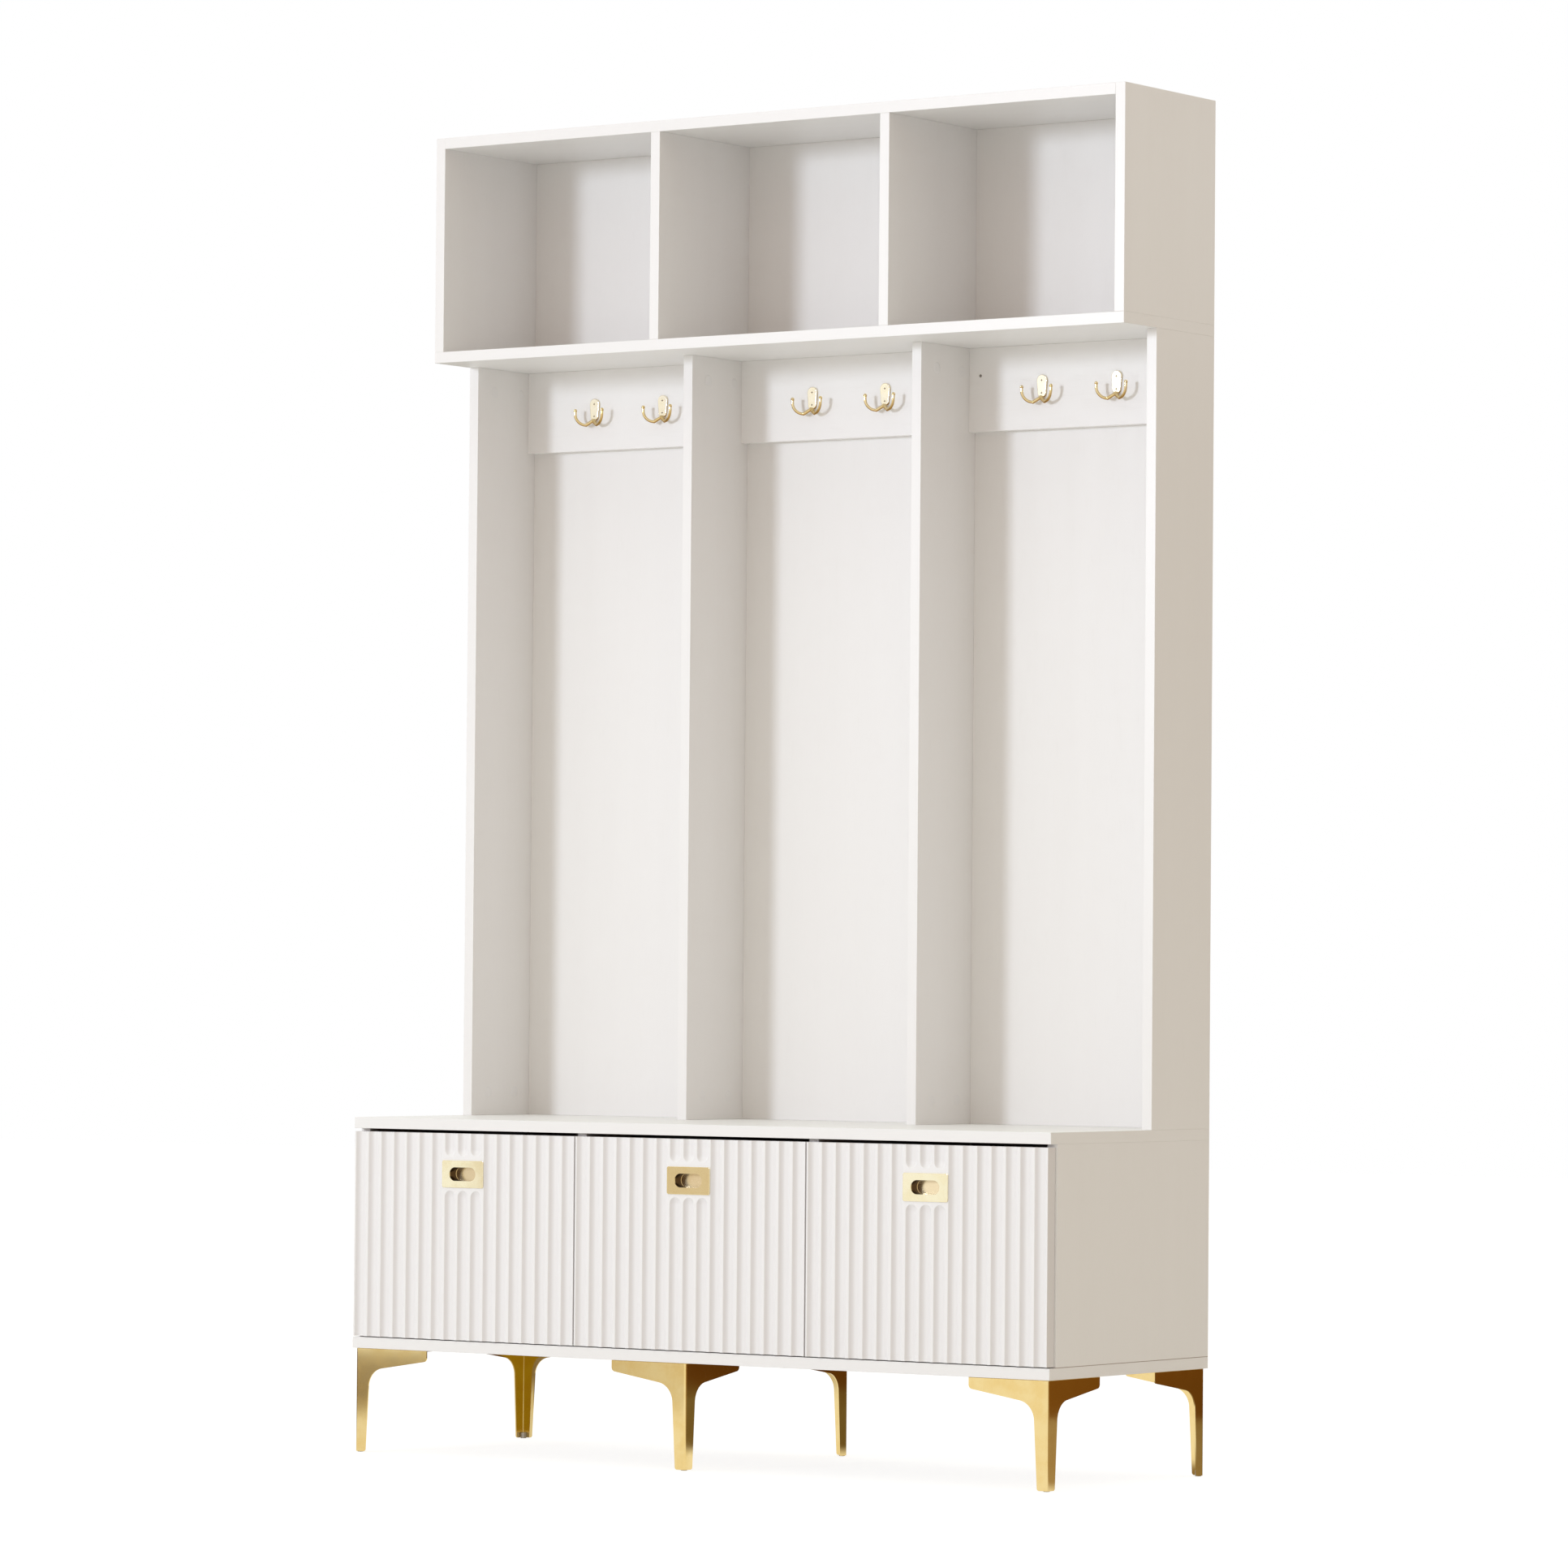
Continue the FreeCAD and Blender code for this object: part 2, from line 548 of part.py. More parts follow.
def stamped_leg(label, x, y, turns):
    """A folded sheet leg: two equal flanges, a slim tapered post and a screw plate on top."""
    body = new_body(label, x, y, "pad_drop")
    body.Placement.Rotation = Rotation(Vector(0, 0, 1), 90 * turns)
    long = "leg_flange + leg_trim"
    angle = outline(body, label + "_angle", "XY_Plane",
                    [("0", "0"), (long, "0"), (long, "leg_sheet"), ("leg_sheet", "leg_sheet"),
                     ("leg_sheet", long), ("0", long)],
                    {0: "leg_bend", 3: "leg_bend - leg_sheet"})
    pad(body, label + "_blank", angle, "leg_tall")
    away = "leg_flange + 2 * leg_trim"
    shape = [("foot_width", "-leg_trim"), ("foot_width", "0"),
             ("leg_knee_out", "leg_tall - leg_knee_drop"), ("leg_flange", "leg_tall - leg_end"),
             ("leg_flange", "leg_tall + leg_trim"), (away, "leg_tall + leg_trim"),
             (away, "-leg_trim")]
    rounds = {2: "leg_curve", 3: "leg_end_round"}
    pocket_through(body, label + "_front_cut",
                   outline(body, label + "_front_line", "XZ_Plane", shape, rounds))
    pocket_through(body, label + "_side_cut",
                   outline(body, label + "_side_line", "YZ_Plane", shape, rounds),
                   backwards=True)
    tip = "leg_flange - leg_end_round"
    plate = outline(body, label + "_plate_line", "XY_Plane",
                    [("leg_sheet / 2", "leg_sheet / 2"), (tip, "leg_sheet / 2"), (tip, "leg_plate_end"),
                     ("leg_plate_end", tip), ("leg_sheet / 2", tip)])
    bind(plate, **{"AttachmentOffset.Base.z": "leg_tall - leg_sheet"})
    pad(body, label + "_plate", plate, "leg_sheet")
    for i, (along, across) in enumerate(LEG_SCREWS, start=1):
        solid(body, "SubtractiveCone", f"{label}_sink_{i}", x=along, y=across,
              z="leg_tall - leg_sheet", Radius1="screw_head + screw_play",
              Radius2="screw_head - leg_sheet + screw_play", Height="leg_sheet")
    high = size["leg_height"] - size["pad_drop"] - TOUCH
    bend = size["leg_bend"] + TOUCH
    round_edges(body, label + "_top_bend", "leg_bend - leg_sheet",
                lambda edge: edge.BoundBox.ZMin > high
                and min(edge.BoundBox.XMax, edge.BoundBox.YMax) < bend
                and min(edge.BoundBox.XMin, edge.BoundBox.YMin) < TOUCH
                and edge.BoundBox.DiagonalLength > size["leg_bend"])
    round_edges(body, label + "_foot_round", "foot_round",
                lambda edge: edge.BoundBox.ZMax < TOUCH
                and abs(edge.BoundBox.DiagonalLength - size["leg_sheet"]) < TOUCH)
    return finish(body, label)


def foot_pad(name, x, y, turns):
    """A plastic pad in the fold of a leg's foot, a little lower than the steel."""
    body = new_body(name, x, y, "0")
    body.Placement.Rotation = Rotation(Vector(0, 0, 1), 90 * turns)
    inside = "leg_sheet + pad_play"
    solid(body, "AdditiveBox", name + "_block", x=inside, y=inside, Length="pad_size",
          Width="pad_size", Height="pad_height")
    ease_all(body, name + "_ease", "pad_ease")
    return body


def build_legs():
    for leg in LEGS:
        stamped_leg(*leg)
    group("leg_pads", [foot_pad(label + "_pad", x, y, turns) for label, x, y, turns in LEGS])


# --------------------------------------------------------------------------- coat hooks

def primitive(kind, name, **formulas):
    return bind(doc.addObject("Part::" + kind, name), **formulas)


def fuse(name, shapes):
    joined = doc.addObject("Part::MultiFuse", name)
    joined.Shapes = shapes
    return joined


def hook_prong(name, side):
    """A round bar that drops from the boss, bows outward and up, and ends in a ball."""
    root = primitive("Cylinder", name + "_root", Radius="prong_root",
                     Height="sqrt(prong_run ^ 2 + prong_drop ^ 2)")
    root.Placement.Rotation = Rotation(Vector(0, 1, 0), 90)
    bind(root, **{"Placement.Rotation.Angle": "90 deg + atan(prong_drop / prong_run)"})
    elbow = primitive("Sphere", name + "_elbow", x="prong_run", z="-prong_drop",
                      Radius="prong_root")
    bow = primitive("Torus", name + "_bow", Radius1="prong_bow", Radius2="prong_bar")
    bow.Angle3 = 90
    bow.Placement.Rotation = Rotation(Vector(0, 0, -1), Vector(1, 0, 0), Vector(0, -1, 0), "XYZ")
    bind(bow, x="prong_run", z="prong_bow - prong_drop")
    rise = primitive("Cylinder", name + "_rise", x="prong_run + prong_bow",
                     z="prong_bow - prong_drop", Radius="prong_bar", Height="prong_rise")
    tip = primitive("Sphere", name + "_tip", x="prong_run + prong_bow",
                    z="prong_bow - prong_drop + prong_rise", Radius="prong_tip")
    prong = fuse(name, [root, elbow, bow, rise, tip])
    prong.Placement.Rotation = Rotation(Vector(0, 0, 1), -90)
    turn = "prong_spread - 90" if side == "right" else "-prong_spread - 90"
    bind(prong, **{"Placement.Rotation.Angle": turn})
    return bind(prong, y="(boss_nose + prong_root) / 2 - boss_reach", z="-boss_z")


def coat_hook(label, x):
    """A tapered plate with two countersunk holes and a boss that carries two prongs."""
    plate = new_body(label + "_plate")
    shape = [("hook_top_half", "hook_top"), ("-hook_top_half", "hook_top"),
             ("-hook_tail_half", "-hook_bottom"), ("hook_tail_half", "-hook_bottom")]
    rounds = {0: "hook_fullness * hook_top_half", 1: "hook_fullness * hook_top_half",
              2: "hook_fullness * hook_tail_half", 3: "hook_fullness * hook_tail_half"}
    pad(plate, label + "_slab", outline(plate, label + "_line", "XZ_Plane", shape, rounds),
        "hook_plate")
    front = TOUCH - size["hook_plate"]
    round_edges(plate, label + "_round", "hook_round", lambda edge: edge.BoundBox.YMax < front)
    boss = along_y(primitive("Cylinder", label + "_boss", Radius="boss_radius",
                             Height="boss_reach - boss_nose"))
    bind(boss, y="boss_nose - boss_reach", z="-boss_z")
    nose = along_y(primitive("Cone", label + "_nose", Radius1="boss_radius - boss_nose",
                             Radius2="boss_radius", Height="boss_nose"))
    bind(nose, y="-boss_reach", z="-boss_z")
    casting = fuse(label + "_casting", [plate, boss, nose,
                                        hook_prong(label + "_prong_left", "left"),
                                        hook_prong(label + "_prong_right", "right")])
    sinks = []
    for row, drop in enumerate(("0", "-hook_pitch"), start=1):
        cone = primitive("Cone", f"{label}_sink_{row}", Radius1="screw_head + screw_play",
                         Radius2="screw_shank + screw_play", Height="screw_head - screw_shank")
        bind(along_y(cone), y="-hook_plate", z=drop)
        bore = primitive("Cylinder", f"{label}_bore_{row}", Radius="screw_shank + screw_play",
                         Height="hook_plate")
        bind(along_y(bore), y="-hook_plate", z=drop)
        sinks += [cone, bore]
    hook = doc.addObject("Part::Cut", label)
    hook.Base = casting
    hook.Tool = fuse(label + "_sinks", sinks)
    return finish(bind(hook, x=x, y="rail_front", z="hook_z"), label)


# --------------------------------------------------------------------------- screws

def screw():
    """One countersunk screw, its head's face at the origin and its shank along +Z."""
    head = Part.makeCone(size["screw_head"], size["screw_shank"],
                         size["screw_head"] - size["screw_shank"])
    shank = Part.makeCylinder(size["screw_shank"], size["screw_length"])
    arm, slot = size["screw_cross"], size["screw_slot"]
    cross = [Part.makeBox(a, b, size["screw_cross_depth"], Vector(-a / 2, -b / 2, 0))
             for a, b in ((arm, slot), (slot, arm))]
    return head.fuse(shank).removeSplitter().cut(cross)


def placed(x, y, z, rotation=None):
    """A point given as formulas, worked out through a helper's bound placement."""
    mark = primitive("Vertex", "screw_place", x=x, y=y, z=z)
    doc.recompute()
    place = Placement(mark.Placement.Base, rotation or Rotation())
    doc.removeObject(mark.Name)
    return place


def build_screws():
    """All the screws are alike: three up through each leg, two through each coat hook."""
    places = [placed(x, y, "leg_height - leg_sheet") for x, y in leg_screw_places()]
    inward = Rotation(Vector(1, 0, 0), -90)
    for label, bay, x in HOOKS:
        for drop in ("0", "hook_pitch"):
            places.append(placed(x, "rail_front - hook_plate", f"hook_z - {drop}", inward))
    one = screw()
    solids = []
    for place in places:
        copy = one.copy()
        copy.Placement = place
        solids.append(copy)
    screws = doc.addObject("Part::Feature", "screws")
    screws.Shape = Part.makeCompound(solids)
    finish(screws, "screws")


build_base()
build_hutch()
build_cubbies()
build_drawers()
build_legs()
for hook_label, hook_bay, hook_x in HOOKS:
    coat_hook(hook_label, hook_x)
build_screws()
doc.recompute()

failed = [item.Label for item in doc.Objects
          if "Invalid" in item.State or "Error" in item.State]
failed += [node.Label for node in NODES if node.Shape.isNull() or not node.Shape.isValid()]
if failed:
    raise SystemExit("failed to build: " + ", ".join(failed))

os.makedirs("parts", exist_ok=True)
for node in NODES:
    path = f"parts/{node.Label}.step"
    node.Shape.exportStep(path)
    written = Part.Shape()
    written.read(path)
    if abs(written.Volume - node.Shape.Volume) > node.Shape.Volume * VOLUME_SLACK:
        raise SystemExit(f"{node.Label}: the written file holds another volume")
print(len(NODES), "sub-parts written")
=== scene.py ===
import math

import bpy
import numpy as np
from mathutils import Matrix, Vector


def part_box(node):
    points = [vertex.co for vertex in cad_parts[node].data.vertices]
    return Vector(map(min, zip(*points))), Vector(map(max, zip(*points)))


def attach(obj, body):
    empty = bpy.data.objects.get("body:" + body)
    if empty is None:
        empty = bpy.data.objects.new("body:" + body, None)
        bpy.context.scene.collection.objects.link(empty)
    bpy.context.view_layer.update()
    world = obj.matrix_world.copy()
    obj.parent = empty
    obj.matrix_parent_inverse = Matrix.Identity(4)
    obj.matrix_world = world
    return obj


# Looks for the hall tree. Metres: +X is the right-hand side, the front faces -Y, +Z is up.

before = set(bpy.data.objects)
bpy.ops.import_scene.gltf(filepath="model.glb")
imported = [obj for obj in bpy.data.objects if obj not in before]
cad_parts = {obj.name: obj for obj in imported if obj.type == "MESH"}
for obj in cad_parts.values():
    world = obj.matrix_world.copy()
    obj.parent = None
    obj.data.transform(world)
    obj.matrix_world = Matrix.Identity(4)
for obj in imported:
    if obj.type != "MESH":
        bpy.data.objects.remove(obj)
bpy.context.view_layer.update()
SCENE = bpy.context.scene

# Sizes on the pieces that a look follows.
FLUTE_DEPTH = 0.004
CUP_WALL = 0.0008
HOOK_PLATE = 0.003
BANDING = 0.0008
BANDING_JOINT = 0.0004
FOOT_JOINT = 0.00075
FITTINGS_FROM_FRONT = (0.040, 0.104)
FITTINGS_FROM_END = 0.034
DIMPLE_FROM_LEFT = 0.0195
DIMPLE_FROM_TOP = 0.040
LEG_SCREWS_BELOW = 0.65

WHITE_LIGHT = (0.862, 0.852, 0.838)
WHITE_DEEP = (0.80, 0.785, 0.765)
JOINT_BROWN = (0.30, 0.22, 0.17)
PURE_WHITE = (1.0, 1.0, 1.0)

# Level directions: across the hall tree as seen from the front right, and away behind it.
ACROSS = (0.817, -0.577)
BEHIND = (0.577, 0.817)


# --------------------------------------------------------------------------- material tools

class Socket:
    """An output inside a finish. Python arithmetic on it adds Math nodes."""

    def __init__(self, finish, output):
        self.finish = finish
        self.output = output

    def __add__(self, other):
        return self.finish.reckon("ADD", self, other)

    def __sub__(self, other):
        return self.finish.reckon("SUBTRACT", self, other)

    def __rsub__(self, other):
        return self.finish.reckon("SUBTRACT", other, self)

    def __mul__(self, other):
        return self.finish.reckon("MULTIPLY", self, other)

    __radd__ = __add__
    __rmul__ = __mul__


class Finish:
    """A material or world being mixed. Every node but arithmetic comes from node()."""

    def __init__(self, owner):
        self.owner = owner
        owner.use_nodes = True
        self.tree = owner.node_tree
        self.tree.nodes.clear()

    def node(self, kind, settings=None, inputs=None):
        """Add a node, set it up, then fill or link its sockets; gives its outputs by name."""
        made = self.tree.nodes.new(kind)
        for setting, value in (settings or {}).items():
            setattr(made, setting, value)
        sockets = {socket.identifier: socket for socket in made.inputs}
        for name, value in (inputs or {}).items():
            if isinstance(value, Socket):
                self.tree.links.new(value.output, sockets[name])
            else:
                sockets[name].default_value = value
        return {output.identifier: Socket(self, output) for output in made.outputs}

    def reckon(self, operation, first, second):
        return self.node("ShaderNodeMath", {"operation": operation},
                         {"Value": first, "Value_001": second})["Value"]

    def step(self, value, low, high):
        """0 below low, 1 above high, eased between."""
        return self.node("ShaderNodeMapRange", {"interpolation_type": "SMOOTHSTEP"},
                         {"Value": value, "From Min": low, "From Max": high})["Result"]

    def past(self, value, place, blur=0.0001):
        """0 before a place and 1 past it, blurred by a little on each side."""
        return self.step(value, place - blur, place + blur)

    def tint(self, share, first, second):
        """The first colour, turning into the second as the share goes from 0 to 1."""
        inputs = {"Factor_Float": share}
        for name, colour in (("A_Color", first), ("B_Color", second)):
            inputs[name] = colour if isinstance(colour, Socket) else (*colour, 1.0)
        return self.node("ShaderNodeMix", {"data_type": "RGBA"}, inputs)["Result_Color"]

    def place(self, scale=(1.0, 1.0, 1.0)):
        """The point on the object, stretched by a scale along each axis."""
        point = self.node("ShaderNodeTexCoord")["Object"]
        return self.node("ShaderNodeMapping", None, {"Vector": point, "Scale": scale})["Vector"]

    def along(self, axis):
        """The point's place along one axis of the object, in metres."""
        point = self.node("ShaderNodeTexCoord")["Object"]
        return self.node("ShaderNodeSeparateXYZ", None, {"Vector": point})[axis]

    def facing(self, axis):
        """How far the surface faces along one axis of the object, from -1 to 1."""
        normal = self.node("ShaderNodeTexCoord")["Normal"]
        return self.node("ShaderNodeSeparateXYZ", None, {"Vector": normal})[axis]

    def level_distance(self, direction):
        """How far the point lies along a level direction."""
        return direction[0] * self.along("X") + direction[1] * self.along("Y")

    def noise(self, point, scale, detail=3.0, roughness=0.5):
        inputs = {"Vector": point, "Scale": scale, "Detail": detail, "Roughness": roughness}
        return self.node("ShaderNodeTexNoise", None, inputs)["Fac"]

    def relief(self, height, depth, strength):
        """The normal of a surface that the height raises by up to a depth in metres."""
        inputs = {"Height": height, "Distance": depth, "Strength": strength}
        return self.node("ShaderNodeBump", None, inputs)["Normal"]

    def surface(self, **inputs):
        """Close a material with a Principled shader; underscores stand for spaces."""
        named = {name.replace("_", " "): value for name, value in inputs.items()}
        shader = self.node("ShaderNodeBsdfPrincipled", None, named)["BSDF"]
        self.node("ShaderNodeOutputMaterial", None, {"Surface": shader})
        return self.owner


def new_finish(name):
    return Finish(bpy.data.materials.new(name))


# --------------------------------------------------------------------------- finishes

GRAIN = {"X": (0.05, 1.0, 1.0), "Z": (1.0, 1.0, 0.05)}


def pressed_board(name, grain, band_front=None, foot=None, light=WHITE_LIGHT, deep=WHITE_DEEP):
    """White melamine with a faint pressed wood grain.

    A front edge may be smooth banding, and a board's foot may show its dark joint.
    """
    coat = new_finish(name)
    fibres = coat.noise(coat.place(GRAIN[grain]), 520.0, 3.0, 0.55)
    cloud = coat.noise(coat.place(GRAIN[grain]), 26.0, 2.0)
    pores = coat.step(fibres, 0.56, 0.70)
    tone = 0.16 * pores + 0.34 * cloud
    gloss = 0.40 + 0.10 * pores + 0.06 * cloud
    height = 1.0 - pores
    if band_front is not None:
        y = coat.along("Y")
        inner = coat.past(y, band_front + BANDING)
        joint = inner * (1.0 - coat.past(y, band_front + BANDING + BANDING_JOINT))
        tone = tone * inner + 0.9 * joint
        gloss = gloss * inner + 0.33 * (1.0 - inner)
        height = height * inner
    colour = coat.tint(tone, light, deep)
    if foot is not None:
        joint = 1.0 - coat.past(coat.along("Z"), foot + FOOT_JOINT, 0.00025)
        colour = coat.tint(joint, colour, JOINT_BROWN)
    return coat.surface(Base_Color=colour, Roughness=gloss,
                        Normal=coat.relief(height, 0.00006, 0.5))


def foil_front(name, face, depth):
    """Satin foil over the fluted fronts, with painted shade deeper in the flutes and on their
    right-facing walls.
    """
    foil = new_finish(name)
    fine = foil.noise(foil.place((1.0, 1.0, 0.2)), 900.0, 2.0)
    cloud = foil.noise(foil.place(), 14.0, 2.0)
    # Painted shade: the flutes are darker towards their bottoms and on their walls that face
    # right.
    valley_painted_shade = foil.step(foil.along("Y"), face + 0.0003, face + depth)
    shaded_recess = foil.past(foil.along("Y"), face + 0.00035, 0.00025)
    right_wall_painted_shade = shaded_recess * foil.step(foil.facing("X"), 0.0, 0.55)
    tone = 0.2 * valley_painted_shade + 0.8 * right_wall_painted_shade + 0.09 * cloud + 0.04 * fine
    return foil.surface(Base_Color=foil.tint(tone, (0.872, 0.862, 0.856), (0.755, 0.73, 0.72)),
                        Roughness=0.36 + 0.08 * fine + 0.05 * valley_painted_shade,
                        Normal=foil.relief(fine, 0.00003, 0.4))


def linen_board(name):
    """Drawer box boards: pale grey melamine pressed with a linen weave."""
    coat = new_finish(name)
    warp = coat.noise(coat.place((1.0, 1.0, 0.12)), 760.0, 1.0)
    weft = coat.noise(coat.place((1.0, 0.12, 1.0)), 760.0, 1.0)
    cloud = coat.noise(coat.place(), 18.0, 2.0)
    weave = 0.5 * warp + 0.5 * weft
    tone = 0.5 * coat.step(weave, 0.42, 0.58) + 0.3 * cloud
    return coat.surface(Base_Color=coat.tint(tone, (0.80, 0.79, 0.775), (0.69, 0.68, 0.665)),
                        Roughness=0.46 + 0.12 * weave,
                        Normal=coat.relief(weave, 0.0001, 0.5))


def gilded(name, bright, deep, gloss, lines, hook=None, cup=None):
    """Gold-plated metal: rubbed cloudy patches and fine polishing lines.

    A hook's prongs are painted a deeper gold as shade, darkest underneath as painted shade. A
    pull's cup has its wall painted brown as shade, and a satin floor.
    """
    plate = new_finish(name)
    cloud = plate.noise(plate.place(), 34.0, 3.0, 0.6)
    rubbed = plate.step(cloud, 0.35, 0.72)
    streaks = plate.noise(plate.place(lines), 1400.0, 2.0, 0.6)
    specks = plate.step(plate.noise(plate.place(), 900.0, 2.0), 0.66, 0.74)
    colour = plate.tint(0.75 * rubbed + 0.25 * streaks, bright, deep)
    polish = gloss + 0.04 * rubbed + 0.03 * streaks + 0.06 * specks
    if hook is not None:
        face, prong_shade_gold, shade = hook
        # Painted shade: the prongs are tinted a deeper gold, and their undersides darker still.
        prong_painted_shade = 1.0 - plate.past(plate.along("Y"), face - 0.0006, 0.0004)
        underside_painted_shade = 1.0 - plate.step(plate.facing("Z"), -0.8, 0.25)
        colour = plate.tint(prong_painted_shade * (0.70 + 0.30 * rubbed), colour, prong_shade_gold)
        colour = plate.tint(underside_painted_shade, colour, shade)
    if cup is not None:
        lip, floor = cup
        y = plate.along("Y")
        base = plate.past(y, floor - 0.0006, 0.0003)
        # Painted shade: the cup's wall is tinted dark brown.
        cup_wall_painted_shade = plate.past(y, lip + 0.0015, 0.0007) * (1.0 - base)
        colour = plate.tint(0.97 * cup_wall_painted_shade, colour, (0.06, 0.026, 0.005))
        colour = plate.tint(0.9 * base, colour, (0.76, 0.62, 0.40))
        polish = polish + 0.15 * base
    return plate.surface(Base_Color=colour, Metallic=1.0, Roughness=polish,
                         Normal=plate.relief(streaks, 0.00002, 0.25))


def screw_metal(name, hook_face):
    """Gold-plated screws in the coat hooks, their sunk cross painted dark as shade, and
    zinc-plated ones in the legs.
    """
    metal = new_finish(name)
    worn = metal.noise(metal.place(), 700.0, 3.0, 0.6)
    high_up = metal.past(metal.along("Z"), LEG_SCREWS_BELOW, 0.05)
    low_down = 1.0 - high_up
    shaded_recess = metal.past(metal.along("Y"), hook_face + 0.0004, 0.0002)
    zinc = metal.tint(worn, (0.70, 0.71, 0.73), (0.50, 0.51, 0.54))
    gold = metal.tint(worn, (0.97, 0.90, 0.72), (0.90, 0.78, 0.54))
    # Painted shade: the sunk cross in the hook screws is darkened.
    gold = metal.tint(shaded_recess, gold, (0.20, 0.09, 0.05))
    return metal.surface(Base_Color=metal.tint(high_up, zinc, gold), Metallic=1.0,
                         Roughness=0.10 + (0.14 + 0.2 * worn) * low_down,
                         Normal=metal.relief(worn * low_down, 0.00004, 0.3))


def zinc_sheet(name):
    """Zinc-plated runner steel: soft spangles and lengthwise rolling marks."""
    steel = new_finish(name)
    spangle = steel.node("ShaderNodeTexVoronoi", {"feature": "SMOOTH_F1"},
                         {"Vector": steel.place((1.0, 0.7, 1.0)), "Scale": 150.0})["Distance"]
    rolled = steel.noise(steel.place((1.0, 0.02, 1.0)), 900.0, 2.0)
    tone = 0.5 * spangle + 0.4 * rolled
    return steel.surface(Base_Color=steel.tint(tone, (0.72, 0.73, 0.74), (0.52, 0.53, 0.55)),
                         Metallic=1.0, Roughness=0.30 + 0.12 * spangle + 0.08 * rolled,
                         Normal=steel.relief(rolled, 0.00004, 0.3))


def moulded(name, light, deep, gloss):
    """Moulded plastic: an even skin with a fine spark texture."""
    plastic = new_finish(name)
    spark = plastic.noise(plastic.place(), 1600.0, 2.0)
    cloud = plastic.noise(plastic.place(), 60.0, 2.0)
    return plastic.surface(Base_Color=plastic.tint(cloud, light, deep),
                           Roughness=gloss + 0.1 * spark,
                           Normal=plastic.relief(spark, 0.00004, 0.4))


# --------------------------------------------------------------------------- trim pieces

def turned(profile, centres, axis, steps=28):
    """Turned discs: the profile's (radius, height) pairs are swept round the axis.

    Each vertex is centre + radius * (cos a * across + sin a * up) + height * axis, and the
    first and last pairs, whose radius is 0, are single poles.
    """
    axis = np.asarray(axis, float)
    across = np.cross(axis, (0.0, 0.0, 1.0))
    up = np.cross(axis, across)
    radius, height = np.asarray(profile, float).T
    angle = np.linspace(0.0, 2.0 * math.pi, steps, endpoint=False)[None, :, None]
    ring = radius[1:-1, None, None] * (np.cos(angle) * across + np.sin(angle) * up)
    ring = (ring + height[1:-1, None, None] * axis).reshape(-1, 3)
    one = np.vstack((ring, height[0] * axis, height[-1] * axis))
    around = np.arange(steps)
    after = (around + 1) % steps
    rows = (np.arange(len(radius) - 3) * steps)[:, None]
    sides = np.stack((rows + around, rows + steps + around, rows + steps + after,
                      rows + after), axis=-1).reshape(-1, 4)
    last = (len(radius) - 3) * steps
    first_fan = np.stack((np.full(steps, len(ring)), around, after), axis=-1)
    last_fan = np.stack((np.full(steps, len(ring) + 1), last + after, last + around), axis=-1)
    vertices = (np.asarray(centres, float)[:, None, :] + one).reshape(-1, 3)
    shift = (np.arange(len(centres)) * len(one))[:, None, None]
    faces = [(shift + part).reshape(-1, part.shape[1])
             for part in (sides, first_fan, last_fan)]
    return vertices, faces


def trim_piece(name, shape, finish, body):
    """Put worked-out vertices and faces into a mesh that rides on a body."""
    vertices, faces = shape
    mesh = bpy.data.meshes.new(name)
    mesh.from_pydata(vertices.tolist(), [], [face for part in faces for face in part.tolist()])
    mesh.polygons.foreach_set("use_smooth", np.ones(len(mesh.polygons), bool))
    mesh.set_sharp_from_angle(angle=math.radians(50.0))
    mesh.materials.append(finish)
    piece = bpy.data.objects.new(name, mesh)
    SCENE.collection.objects.link(piece)
    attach(piece, body)
    return piece


# A cover's crown, its rolled rim, and its underside let into the board.
COVER = [(0.0, 0.0005), (0.0055, 0.00045), (0.0074, 0.0003), (0.0082, -0.00005),
         (0.0082, -0.0002), (0.0, -0.0002)]
# A blind hole's edge: a low raised ring round a dimple, painted dark as the hole's shade.
DIMPLE = [(0.0, 0.00005), (0.0012, 0.0001), (0.0017, 0.0004), (0.0021, 0.0003),
          (0.0023, -0.0001), (0.0, -0.0001)]


def fitting_covers(finish):
    """Push-in covers over the hutch panels' fittings, two near each end of a panel."""
    for name, outward in (("side_left", 1), ("divider_left", 1), ("divider_right", 1),
                          ("side_right", -1)):
        low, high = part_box("hutch_" + name)
        face = high.x if outward > 0 else low.x
        centres = [(face, low.y + back, z) for back in FITTINGS_FROM_FRONT
                   for z in (low.z + FITTINGS_FROM_END, high.z - FITTINGS_FROM_END)]
        trim_piece("fitting_covers_" + name, turned(COVER, centres, (outward, 0, 0)), finish,
                   "carcass")


def rail_dimple(finish):
    """A small blind hole near the left end of the right-hand hook rail, painted dark as shade."""
    low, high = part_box("hook_rail_right")
    centre = (low.x + DIMPLE_FROM_LEFT, low.y, high.z - DIMPLE_FROM_TOP)
    trim_piece("rail_dimple", turned(DIMPLE, [centre], (0, -1, 0), 20), finish, "carcass")


# --------------------------------------------------------------------------- the hall tree

